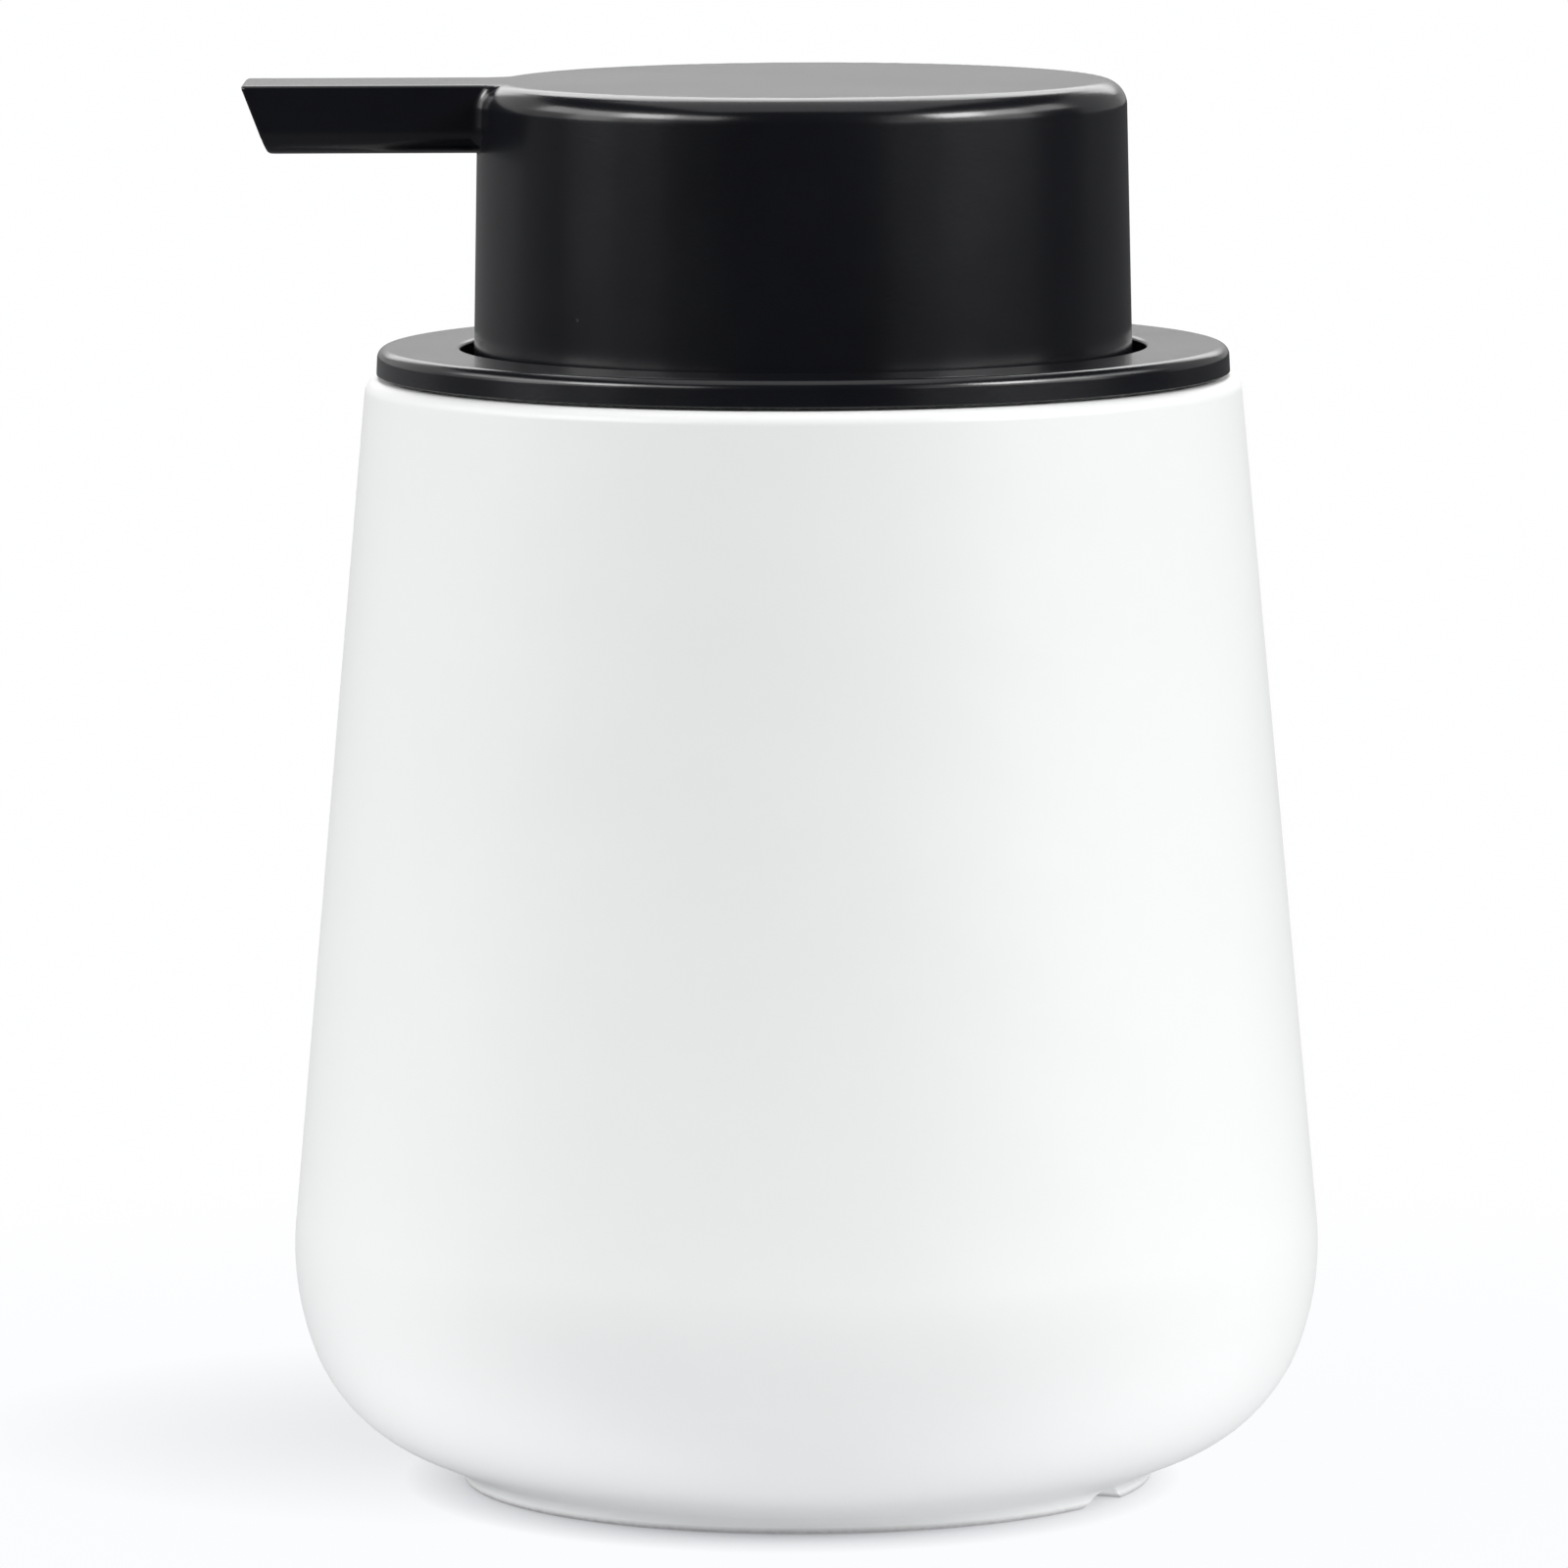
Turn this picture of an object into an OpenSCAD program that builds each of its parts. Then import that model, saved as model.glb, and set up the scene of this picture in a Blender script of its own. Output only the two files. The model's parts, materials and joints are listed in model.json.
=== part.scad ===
// Foaming soap pump dispenser: a ceramic bottle, a push-in collar that carries the foam pump,
// and a press-down head that swivels on the pump's stem.
// Millimetres, +Z up, origin at the centre of the foot's rest plane, spout along -X.
// The pump is drawn at the top of its stroke.

/* [Part] */
// Which piece to draw

/* [Bottle] */
// Height of the ceramic rim
body_h = 95; // [94:0.5:96]
// Widest radius, at the belly
belly_r = 43.95; // [43:0.05:46]
// Radius of the cone at the rim
rim_r = 37.3; // [36.9:0.1:37.8]
// Wall thickness
body_wall = 5; // [4.5:0.1:5.4]
// Radius of the mouth that takes the pump
mouth_r = 32; // [31.9:0.01:32.1]
// Outer radius of the foot ring
foot_r = 29.6; // [29:0.1:30]
// Width of the foot ring
foot_w = 4; // [3:0.1:5]
// Depth of the recess inside the foot ring
foot_recess = 2.2; // [1.8:0.1:2.5]
// Width of the drain notch in the foot ring
notch_w = 7; // [5:0.5:9]
// Height of the drain notch
notch_h = 1.45; // [1:0.05:1.7]
// Direction of the drain notch, from +X
notch_dir = -31.5; // [-60:0.5:60]

/* [Collar] */
// Radius of the flange that covers the rim
flange_r = 36.4; // [36:0.1:36.8]
// Height of the flange's top face
flange_top = 97.6; // [97.4:0.1:98.2]
// Gap between the flange and the ceramic rim
flange_gap = 0.3; // [0.2:0.05:0.4]
// Radius of the opening that the head goes down into
well_r = 29.25; // [29:0.05:29.5]
// Wall of the well cup
well_wall = 1.75; // [1.7:0.05:1.9]
// Height of the well's floor
well_floor = 78.4; // [78.2:0.1:78.6]

/* [Pump] */
// Inner radius of the air chamber
air_r = 17; // [16.9:0.05:17.1]
// Wall of the cylinder
cyl_wall = 1.2; // [1:0.1:1.4]
// Height of the air chamber's floor
air_floor = 53.5; // [53:0.1:53.6]
// Inner radius of the liquid chamber
liquid_r = 6; // [5.9:0.05:6.1]
// Height of the liquid chamber's floor
liquid_floor = 24.6; // [24.4:0.1:24.8]
// Outer radius of the dip tube
tube_r = 3.1; // [3:0.1:3.3]
// Radius of the steel inlet ball
inlet_ball_r = 2.5; // [2.4:0.05:2.6]
// Wire radius of the return spring
wire_r = 0.45; // [0.35:0.05:0.5]
// Mean radius of the return spring
spring_r = 4.9; // [4.8:0.05:5]
// Number of turns of the return spring
spring_turns = 8; // [6:1:9]

/* [Plunger] */
// Outer radius of the stem
stem_r = 6; // [5.9:0.05:6.1]
// Running clearance of pistons, guides and seals
fit = 0.05; // [0.03:0.01:0.08]
// Radius of the outlet ball
outlet_ball_r = 2; // [1.9:0.05:2.1]
// Top end of the stem
stem_top = 103.7; // [103.4:0.1:103.8]

/* [Head] */
// Height of the head's flat top
head_top = 120.2; // [120:0.1:120.6]
// Radius of the head's side at its top
head_r = 27.6; // [27.2:0.1:27.7]
// Extra radius at the skirt's lower edge, from the moulding draft
head_draft = 0.53; // [0.3:0.01:0.6]
// Radius of the rounding round the top
head_round = 1.9; // [1.5:0.1:2.8]
// Wall of the skirt
head_wall = 1.85; // [1.6:0.05:2]
// Thickness of the top
head_plate = 2; // [1.8:0.1:2.2]
// Height of the skirt's lower edge
skirt_bottom = 93.6; // [93:0.1:94.5]

/* [Spout] */
// Reach of the spout's tip from the axis
spout_reach = 47.6; // [44:0.1:50]
// Width of the spout
spout_w = 11.2; // [10.8:0.1:11.8]
// Height of the spout
spout_h = 5.9; // [5.7:0.1:6.1]
// Radius of the spout's lower edges
spout_round = 3.2; // [2.5:0.1:3.4]
// Lean of the slanted tip
tip_lean = 21; // [10:1:30]
// Wall of the spout
spout_wall = 1; // [0.9:0.05:1.1]
// Wall of the duct inside the spout
duct_wall = 0.7; // [0.6:0.05:0.8]

/* [Hidden] */
$fn = 96;

// Ceramic section: two corners, each rounded with a large radius, make the belly.
rim_round = 1.2;
belly_up = [belly_r + 0.36, 17.2, 24.4];
belly_low = [belly_r - 3.72, 5.75, 15.3];
foot_joint = [foot_r, 1.24, 1.2];
// How far each side of the drain notch leans in
notch_side = 1.2;
inner_up = [belly_up.x - 5.08 * body_wall / 5, belly_up.y + 0.65, belly_up[2] - body_wall];
floor_z = 6.9;
inner_low = [belly_low.x - 4.9 * body_wall / 5, floor_z, 10];
neck_z = 82;
neck_flare = 3;

// Collar and cup
cup_r = well_r + well_wall;
flange_z = body_h + flange_gap;
seal_pocket = 0.8;
seal_lip_r = 35;
floor_t = 2;
boss_in_r = 21.3;
boss_out_r = 22.8;
boss_top = 84.5;
bore_r = air_r + cyl_wall + 0.3;

// Cylinder
gasket_t = 1.2;
cyl_flange_r = 21;
cyl_flange_z = well_floor + gasket_t;
cyl_flange_t = 1.6;
cyl_top = cyl_flange_z + cyl_flange_t;
liquid_out_r = liquid_r + cyl_wall;
seat_r = 1.6;
seat_z = liquid_floor - 1.6;
socket_top = seat_z - 1;
socket_bottom = 15;
vent_z = 77;
tube_bottom = floor_z + 2;
inlet_ball_z = seat_z - seat_r + inlet_ball_r * sqrt(2) + fit * 1.2;

// Retainer
disc_t = 2;
guide_bottom = 78.9;
guide_top = 85.5;
guide_wall = 1.55;

// Spring seat and its ball cage
seat_base_t = 1.4;
spring_bottom = liquid_floor + seat_base_t;
cage_r = 3.9;
cage_wall = 0.6;
cage_bar = 0.8;
ball_lift = 1.5;
cage_top = inlet_ball_z + inlet_ball_r + ball_lift + 0.3 + cage_bar;

// Plunger
plug_bottom = 47.5;
piston_h = 5.5;
plug_r = 3.4;
neck_r = 4.4;
stop_z = 66;
stop_r = 8.2;
stop_t = 1.4;
hub_bottom = stop_z + stop_t + 0.3;
hub_h = 9;
hub_r = 7.8;
rib_z = hub_bottom + hub_h + 1.1;
rib_t = 0.8;
liquid_bore = 1.3;
ball_seat_z = 68.5;
ball_bore = 2.6;
ball_stop_z = 73.6;
foam_bore = 4.2;
foam_z = 75;
port_z = 75.8;
outlet_ball_z = ball_seat_z - liquid_bore + outlet_ball_r * sqrt(2) + fit;
oring_z = 100.8;
oring_r = 0.56;
web_z = 71;
web_t = 1.2;
lip_in_r = 15.8;
lip_bottom = 68.6;
lip_top = 75.2;

// Wire of the return spring: a closed turn at each end, open turns between
coil_steps = 28;
wire_steps = 8;
closed_pitch = 2 * wire_r + 0.03;
open_pitch = (plug_bottom - spring_bottom - 2 * wire_r - 2 * closed_pitch) / (spring_turns - 2);

// Head
socket_r = stem_r + fit;
socket_out_r = 7.6;
socket_end = 98;
mesh_z = 104;
mesh_t = 0.35;
ledge_z = 112.6;
ledge_r = 5;
plate_z = head_top - head_plate;
duct_low = head_top - spout_h + spout_wall;
duct_high = head_top - spout_wall;
duct_w = spout_w - 2 * spout_wall;
duct_round = spout_round - spout_wall;
side_slope = head_draft / (head_top - skirt_bottom);

// ---- An outline with rounded corners. Each point is [x, y, corner radius].
function at(p, i) = let (q = p[(i + len(p)) % len(p)]) [q.x, q.y];
function toward(p, i, d) = let (v = at(p, i + d) - at(p, i)) v / norm(v);

// Degrees between two points of an arc: fine on the belly, coarser on small edges
function arc_step(r) = r > 8 ? 2 : r > 2 ? 7.5 : 15;

function corner(p, i) =
  let (
    r = p[i][2],
    a = toward(p, i, -1),
    b = toward(p, i, 1),
    half = acos(a * b) / 2,
    c = at(p, i) + (a + b) / norm(a + b) * r / sin(half),
    start = at(p, i) + a * r / tan(half) - c,
    sweep = sign(cross(-a, b)) * (180 - 2 * half),
    n = ceil(abs(sweep) / arc_step(r))
  )
  [for (k = [0:n]) let (t = sweep * k / n)
    c + [start.x * cos(t) - start.y * sin(t), start.x * sin(t) + start.y * cos(t)]];

module outline(p) {
  polygon([for (i = [0:len(p) - 1]) each p[i][2] > 0 ? corner(p, i) : [at(p, i)]]);
}

// A plain ring with square edges
module ring(r_in, r_out, z, h) {
  translate([0, 0, z]) rotate_extrude() translate([r_in, 0]) square([r_out - r_in, h]);
}

// Copies round the axis
module around(n, first = 0) {
  for (i = [0:n - 1]) rotate(first + i * 360 / n) children();
}

// A rib standing on the XZ plane, drawn as [r, z] points
module rib(t, points) {
  rotate([90, 0, 0]) linear_extrude(t, center = true) polygon(points);
}

// ---- Bottle
module bottle() color("WhiteSmoke") difference() {
  rotate_extrude() outline([
    [0, foot_recess, 0],
    [foot_r - foot_w, foot_recess, 1],
    [foot_r - foot_w, 0, 0.6],
    [foot_r, 0, 0.4],
    foot_joint,
    belly_low,
    belly_up,
    [rim_r, body_h, rim_round],
    [mouth_r, body_h, 0.8],
    [mouth_r, neck_z, 2],
    [mouth_r + 1.6, neck_z - neck_flare, 4],
    inner_up,
    inner_low,
    [0, floor_z, 0]
  ]);
  rotate(notch_dir) translate([foot_r - foot_w - 2, 0, 0]) rotate([90, 0, 90])
    linear_extrude(foot_w + 4) outline([
      [-notch_w / 2, -1, 0],
      [notch_w / 2, -1, 0],
      [notch_w / 2 - notch_side, notch_h, 1.2],
      [notch_side - notch_w / 2, notch_h, 1.2]
    ]);
}

// ---- Collar: flange, well cup, and the boss ring that the retainer snaps into
module collar() color("DimGray") rotate_extrude() outline([
  [bore_r, well_floor - floor_t, 0],
  [cup_r, well_floor - floor_t, 0.8],
  [cup_r, flange_z + seal_pocket, 0],
  [seal_lip_r, flange_z + seal_pocket, 0],
  [seal_lip_r, flange_z, 0],
  [flange_r, flange_z, 0.25],
  [flange_r - 0.1, flange_top, 0.9],
  [well_r, flange_top, 0.35],
  [well_r, well_floor, 0.8],
  [boss_out_r, well_floor, 0.4],
  [boss_out_r, boss_top, 0.4],
  [boss_in_r - 0.1, boss_top, 0],
  [boss_in_r - 0.5, boss_top - 0.6, 0],
  [boss_in_r, cyl_top + disc_t, 0],
  [boss_in_r, well_floor, 0],
  [bore_r, well_floor, 0]
]);

// ---- Mouth seal: a sleeve on the cup with three lips, and a flat lip under the flange
module mouth_seal() color("Gainsboro") rotate_extrude() {
  outline([
    [cup_r, body_h - 11, 0],
    [mouth_r - 0.55, body_h - 11, 0.2],
    [mouth_r - 0.55, body_h + fit, 0],
    [seal_lip_r, body_h + fit, 0],
    [seal_lip_r, flange_z + seal_pocket, 0],
    [cup_r, flange_z + seal_pocket, 0]
  ]);
  for (z = [3:3:9])
    translate([0, body_h - z]) polygon([
      [mouth_r - 0.75, -0.9],
      [mouth_r - fit, -0.1],
      [mouth_r - fit, 0.1],
      [mouth_r - 0.75, 0.9]
    ]);
}

// ---- Pump cylinder: air chamber over liquid chamber, with the dip tube's socket below
module pump_cylinder() color("Gainsboro") difference() {
  union() {
    rotate_extrude() outline([
      [tube_r, socket_bottom, 0],
      [tube_r + 1.5, socket_bottom, 0.4],
      [tube_r + 1.5, socket_top, 0],
      [liquid_out_r, seat_z + 0.8, 1],
      [liquid_out_r, air_floor - 1.5, 1],
      [air_r + cyl_wall, air_floor - 1.5, 2],
      [air_r + cyl_wall, cyl_flange_z, 0],
      [cyl_flange_r, cyl_flange_z, 0],
      [cyl_flange_r, cyl_top, 0.3],
      [air_r, cyl_top, 0.3],
      [air_r, air_floor, 1],
      [liquid_r, air_floor, 0.5],
      [liquid_r, liquid_floor, 0],
      [seat_r + 1.6, liquid_floor, 0],
      [seat_r, seat_z, 0],
      [seat_r, socket_top, 0],
      [tube_r, socket_top, 0]
    ]);
    around(4, 45) rib(1, [
      [liquid_out_r - 0.3, air_floor - 8],
      [air_r - 3, air_floor - 1.2],
      [liquid_out_r - 0.3, air_floor - 1.2]
    ]);
  }
  translate([0, 0, vent_z]) rotate([0, 90, 90]) cylinder(h = air_r + 5, r = 0.7);
}

module cylinder_gasket() color("DimGray") ring(bore_r, cyl_flange_r, well_floor, gasket_t);

// ---- Retainer: disc, guide tube for the stem, and a plug that centres the cylinder
module retainer() color("DimGray") difference() {
  union() {
    rotate_extrude() outline([
      [socket_r, guide_bottom, 0.2],
      [socket_r + guide_wall, guide_bottom, 0.3],
      [socket_r + guide_wall, cyl_top, 0.8],
      [air_r - 1.4, cyl_top, 0.6],
      [air_r - 1.4, cyl_top - 2.9, 0.2],
      [air_r - fit, cyl_top - 2.9, 0.4],
      [air_r - fit, cyl_top, 0],
      [boss_in_r - 0.1, cyl_top, 0],
      [boss_in_r - 0.1, cyl_top + disc_t, 0.3],
      [socket_r + guide_wall, cyl_top + disc_t, 0.6],
      [socket_r + guide_wall, guide_top, 0.4],
      [socket_r, guide_top, 0.3]
    ]);
    around(6, 30) rib(1.2, [
      [socket_r + guide_wall - 0.3, cyl_top + disc_t - 0.3],
      [boss_in_r - 2.5, cyl_top + disc_t - 0.3],
      [boss_in_r - 3.5, cyl_top + disc_t + 1],
      [socket_r + guide_wall - 0.3, cyl_top + disc_t + 1]
    ]);
  }
  around(2) translate([12.5, 0, cyl_top - 1]) cylinder(h = disc_t + 3, r = 0.8);
}

// ---- Dip tube, cut slanted at its lower end so that it can't seal itself on the floor
module dip_tube() color("White") difference() {
  ring(tube_r - 0.8, tube_r, tube_bottom, socket_top - tube_bottom);
  translate([-tube_r, 0, tube_bottom]) rotate([0, -28, 0])
    translate([-5, -10, -20]) cube(20);
}

module inlet_ball() color("Silver") translate([0, 0, inlet_ball_z]) sphere(inlet_ball_r);

// ---- Spring seat: base ring, and the cage that lets the ball lift 1.5 mm
module spring_seat() color("WhiteSmoke") {
  ring(cage_r - cage_wall, liquid_r - fit, liquid_floor, seat_base_t);
  around(3) translate([cage_r - cage_wall, -0.7, liquid_floor + 0.4])
    cube([cage_wall, 1.4, cage_top - liquid_floor - 0.4]);
  ring(cage_r - 0.8, cage_r, cage_top - cage_bar, cage_bar);
  around(3) translate([0, -0.5, cage_top - cage_bar]) cube([cage_r - 0.4, 1, cage_bar]);
}

// ---- Return spring: round wire on a helix, with a closed turn at each end
function coil_z(t) = wire_r + closed_pitch * min(t, 1) +
  open_pitch * min(max(t - 1, 0), spring_turns - 2) +
  closed_pitch * max(t - spring_turns + 1, 0);
function coil_point(t, b) = [
  (spring_r + wire_r * cos(b)) * cos(360 * t),
  (spring_r + wire_r * cos(b)) * sin(360 * t),
  coil_z(t) + wire_r * sin(b)
];

module return_spring() color("Silver") translate([0, 0, spring_bottom]) {
  last = spring_turns * coil_steps;
  polyhedron(
    points = [for (i = [0:last], j = [0:wire_steps - 1])
      coil_point(i / coil_steps, 360 * (j + 0.5) / wire_steps)],
    faces = [
      [for (j = [0:wire_steps - 1]) j],
      [for (j = [wire_steps - 1:-1:0]) last * wire_steps + j],
      for (i = [0:last - 1], j = [0:wire_steps - 1])
        let (k = (j + 1) % wire_steps, a = i * wire_steps, b = a + wire_steps)
        each [[a + j, b + j, b + k], [a + j, b + k, a + k]]
    ]
  );
}

// ---- Stem: liquid bore below, ball chamber, foam bore above, and air grooves outside
module stem() color("WhiteSmoke") {
  difference() {
    rotate_extrude() outline([
      [liquid_bore, plug_bottom, 0],
      [plug_r, plug_bottom, 0.3],
      [plug_r, plug_bottom + piston_h, 0],
      [neck_r, plug_bottom + piston_h, 0],
      [neck_r, stop_z, 0.6],
      [stop_r, stop_z, 0.3],
      [stop_r, stop_z + stop_t, 0.3],
      [stem_r, stop_z + stop_t, 0],
      [stem_r, rib_z, 0],
      [stem_r + 0.6, rib_z + 0.2, 0],
      [stem_r + 0.6, rib_z + rib_t, 0],
      [stem_r, rib_z + rib_t, 0],
      [stem_r, oring_z - 0.6, 0],
      [stem_r - 1.1, oring_z - 0.6, 0],
      [stem_r - 1.1, oring_z + 0.6, 0],
      [stem_r, oring_z + 0.6, 0],
      [stem_r, stem_top, 0.4],
      [foam_bore, stem_top, 0],
      [foam_bore, foam_z, 0],
      [ball_bore, foam_z, 0],
      [ball_bore, ball_seat_z + ball_bore - liquid_bore, 0],
      [liquid_bore, ball_seat_z, 0]
    ]);
    around(4) translate([stem_r - 0.7, -0.5, stop_z + stop_t + 0.1])
      cube([2, 1, port_z + 0.5 - stop_z - stop_t]);
    around(4) translate([foam_bore - 1, 0, port_z]) rotate([0, 90, 0])
      cylinder(h = stem_r, r = 0.45);
  }
  around(3, 60) translate([1.2, -0.5, ball_stop_z]) cube([ball_bore - 0.9, 1, foam_z - ball_stop_z]);
}

module stem_oring() color("DimGray") translate([0, 0, oring_z]) rotate_extrude()
  translate([stem_r - 1.1 + oring_r, 0]) circle(oring_r);

module liquid_piston() color("White") rotate_extrude() outline([
  [plug_r, plug_bottom, 0],
  [liquid_r - fit, plug_bottom, 0.15],
  [liquid_r - fit, plug_bottom + 0.8, 0],
  [liquid_r - 0.8, plug_bottom + 2, 0.4],
  [liquid_r - 0.8, plug_bottom + piston_h - 2, 0.4],
  [liquid_r - fit, plug_bottom + piston_h - 0.8, 0],
  [liquid_r - fit, plug_bottom + piston_h, 0.15],
  [plug_r, plug_bottom + piston_h, 0]
]);

// ---- Air piston: hub, web with air holes, and a double-lipped rim
module air_piston() color("White") difference() {
  rotate_extrude() outline([
    [socket_r, hub_bottom, 0.2],
    [hub_r, hub_bottom, 0.4],
    [hub_r, web_z, 0],
    [lip_in_r, web_z, 0.5],
    [lip_in_r, lip_bottom, 0.3],
    [air_r - fit, lip_bottom, 0],
    [air_r - fit, lip_bottom + 0.8, 0],
    [air_r - 0.45, lip_bottom + 1.8, 0.4],
    [air_r - 0.45, lip_top - 1.8, 0.4],
    [air_r - fit, lip_top - 0.8, 0],
    [air_r - fit, lip_top, 0],
    [lip_in_r, lip_top, 0.3],
    [lip_in_r, web_z + web_t, 0.5],
    [hub_r, web_z + web_t, 0.8],
    [hub_r, hub_bottom + hub_h, 0.4],
    [socket_r, hub_bottom + hub_h, 0.2]
  ]);
  around(6) translate([11.8, 0, web_z - 1]) cylinder(h = web_t + 2, r = 0.9);
}

module air_valve() color("LightGray") ring(hub_r, 14.4, web_z - 0.6, 0.6);

module outlet_ball() color("Silver") translate([0, 0, outlet_ball_z]) sphere(outlet_ball_r);

// ---- Actuator core: socket for stem and mesh cartridge, foam chamber, nozzle duct
module duct_section(inset) {
  w = duct_w / 2 - inset;
  r = duct_round - inset;
  outline([
    [-w, duct_low + inset, r],
    [w, duct_low + inset, r],
    [w, duct_high - inset, 0.3],
    [-w, duct_high - inset, 0.3]
  ]);
}

// Everything beyond the slanted tip, moved in by back
module beyond_tip(back) {
  translate([back - spout_reach, 0, head_top]) rotate([0, -tip_lean, 0])
    translate([-20, -15, -15]) cube([20, 30, 30]);
}

module along_spout(reach) {
  translate([-reach, 0, 0]) rotate([90, 0, 90]) linear_extrude(reach) children();
}

module actuator_core() color("DimGray") difference() {
  union() {
    rotate_extrude() outline([
      [socket_r, socket_end, 0.2],
      [socket_out_r, socket_end, 0.3],
      [socket_out_r, duct_high, 0],
      [0, duct_high, 0],
      [0, duct_high - duct_wall, 0],
      [ledge_r, duct_high - duct_wall, 0],
      [ledge_r, ledge_z, 0],
      [socket_r, ledge_z, 0]
    ]);
    difference() {
      along_spout(spout_reach) duct_section(0);
      translate([0, 0, duct_low - 1]) cylinder(h = duct_high - duct_low + 2, r = ledge_r + 0.5);
    }
    for (a = [-120:60:120]) rotate(a) rib(1.2, [
      [socket_out_r - 0.4, mesh_z],
      [head_r - head_wall, plate_z - 7],
      [head_r - head_wall, plate_z - 1.6],
      [head_r - head_wall - 1.6, plate_z],
      [socket_out_r - 0.4, plate_z]
    ]);
  }
  along_spout(spout_reach) duct_section(duct_wall);
  beyond_tip(1);
}

module mesh_holder() color("White")
  ring(ledge_r - 0.2, socket_r, mesh_z + mesh_t, ledge_z - mesh_z - 2 * mesh_t);

// A woven screen in a thin rim
module screen(z, pitch, bar) {
  ring(ledge_r, socket_r, z, mesh_t);
  translate([0, 0, z]) intersection() {
    cylinder(h = mesh_t, r = ledge_r + 0.3);
    union() for (a = [0, 90]) rotate(a)
      for (y = [-floor(ledge_r / pitch):floor(ledge_r / pitch)])
        translate([-ledge_r - 1, y * pitch - bar / 2, 0]) cube([2 * ledge_r + 2, bar, mesh_t]);
  }
}

module coarse_mesh() color("White") screen(mesh_z, 1.5, 0.35);

module fine_mesh() color("White") screen(ledge_z - mesh_t, 1, 0.3);

// ---- Head shell: skirt, flat top, and the spout flush with the top
module head_shell() color("DimGray") difference() {
  union() {
    rotate_extrude() outline([
      [0, plate_z, 0],
      [head_r - head_wall + side_slope, plate_z, 1.2],
      [head_r - head_wall + head_draft - 0.4, skirt_bottom, 0.3],
      [head_r + head_draft, skirt_bottom, 0.5],
      [head_r, head_top, head_round],
      [0, head_top, 0]
    ]);
    difference() {
      along_spout(spout_reach + 3) outline([
        [-spout_w / 2, head_top - spout_h, spout_round],
        [spout_w / 2, head_top - spout_h, spout_round],
        [spout_w / 2, head_top, 0],
        [-spout_w / 2, head_top, 0]
      ]);
      translate([0, 0, head_top - spout_h - 1])
        cylinder(h = spout_h - head_plate + 1, r = head_r - 1);
      beyond_tip(0);
    }
  }
  along_spout(spout_reach + 3) duct_section(0);
  translate([0, 0, plate_z - 1]) cylinder(h = duct_high - plate_z + 1, r = socket_out_r);
}

bottle();
collar();
mouth_seal();
pump_cylinder();
cylinder_gasket();
retainer();
dip_tube();
inlet_ball();
spring_seat();
return_spring();
stem();
stem_oring();
liquid_piston();
air_piston();
air_valve();
outlet_ball();
actuator_core();
mesh_holder();
coarse_mesh();
fine_mesh();
head_shell();
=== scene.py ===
import json
import math

import bmesh
import bpy
import numpy as np
from mathutils import Euler, Matrix, Vector


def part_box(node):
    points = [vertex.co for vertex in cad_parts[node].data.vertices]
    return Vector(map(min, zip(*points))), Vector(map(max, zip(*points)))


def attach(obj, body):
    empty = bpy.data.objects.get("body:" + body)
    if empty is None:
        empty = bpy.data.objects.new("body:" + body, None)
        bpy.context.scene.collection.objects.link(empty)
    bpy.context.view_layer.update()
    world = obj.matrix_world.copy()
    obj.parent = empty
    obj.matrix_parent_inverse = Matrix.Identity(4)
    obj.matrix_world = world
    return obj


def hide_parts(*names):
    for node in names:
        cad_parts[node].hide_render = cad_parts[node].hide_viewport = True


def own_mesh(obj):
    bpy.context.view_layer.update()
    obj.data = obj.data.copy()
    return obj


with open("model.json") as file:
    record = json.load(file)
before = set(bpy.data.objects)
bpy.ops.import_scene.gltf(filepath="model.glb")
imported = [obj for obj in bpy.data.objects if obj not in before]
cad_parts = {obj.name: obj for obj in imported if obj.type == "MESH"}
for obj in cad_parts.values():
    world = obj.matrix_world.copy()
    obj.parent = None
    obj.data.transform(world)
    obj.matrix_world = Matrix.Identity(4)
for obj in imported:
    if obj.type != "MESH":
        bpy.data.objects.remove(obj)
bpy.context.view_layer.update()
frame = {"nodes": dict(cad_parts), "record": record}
scene = bpy.context.scene
MM = 0.001


def mm_box(node):
    """A CAD node's lowest and highest corner, in millimetres."""
    low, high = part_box(node)
    return np.array(low) / MM, np.array(high) / MM


bottle_high = mm_box("bottle")[1]
collar_high = mm_box("collar")[1]
shell_low, shell_high = mm_box("head_shell")
spring_low, spring_high = mm_box("return_spring")


# ---------------------------------------------------------------- meshes
def finish_mesh(name, verts, faces, body, slot, replaced, normals=None):
    """Makes a piece that stands for a CAD node. Verts are in millimetres, and normals has
    one row for each corner of each face: a zero row takes the normal from the mesh."""
    mesh = bpy.data.meshes.new(name)
    mesh.from_pydata((np.asarray(verts) * MM).tolist(), [], faces)
    mesh.shade_smooth()
    if normals is not None:
        mesh.normals_split_custom_set(normals.tolist())
    obj = bpy.data.objects.new(name, mesh)
    scene.collection.objects.link(obj)
    mesh.materials.append(MATERIALS[slot])
    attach(obj, body)
    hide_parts(replaced)
    return obj


def unit(v):
    return v / np.linalg.norm(v)


def arc_step(radius):
    """The turn between two points of an arc: finer on the large arcs, which show most."""
    if radius > 8:
        return math.radians(1.5)
    return math.radians(5 if radius > 2 else 11)


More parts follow.
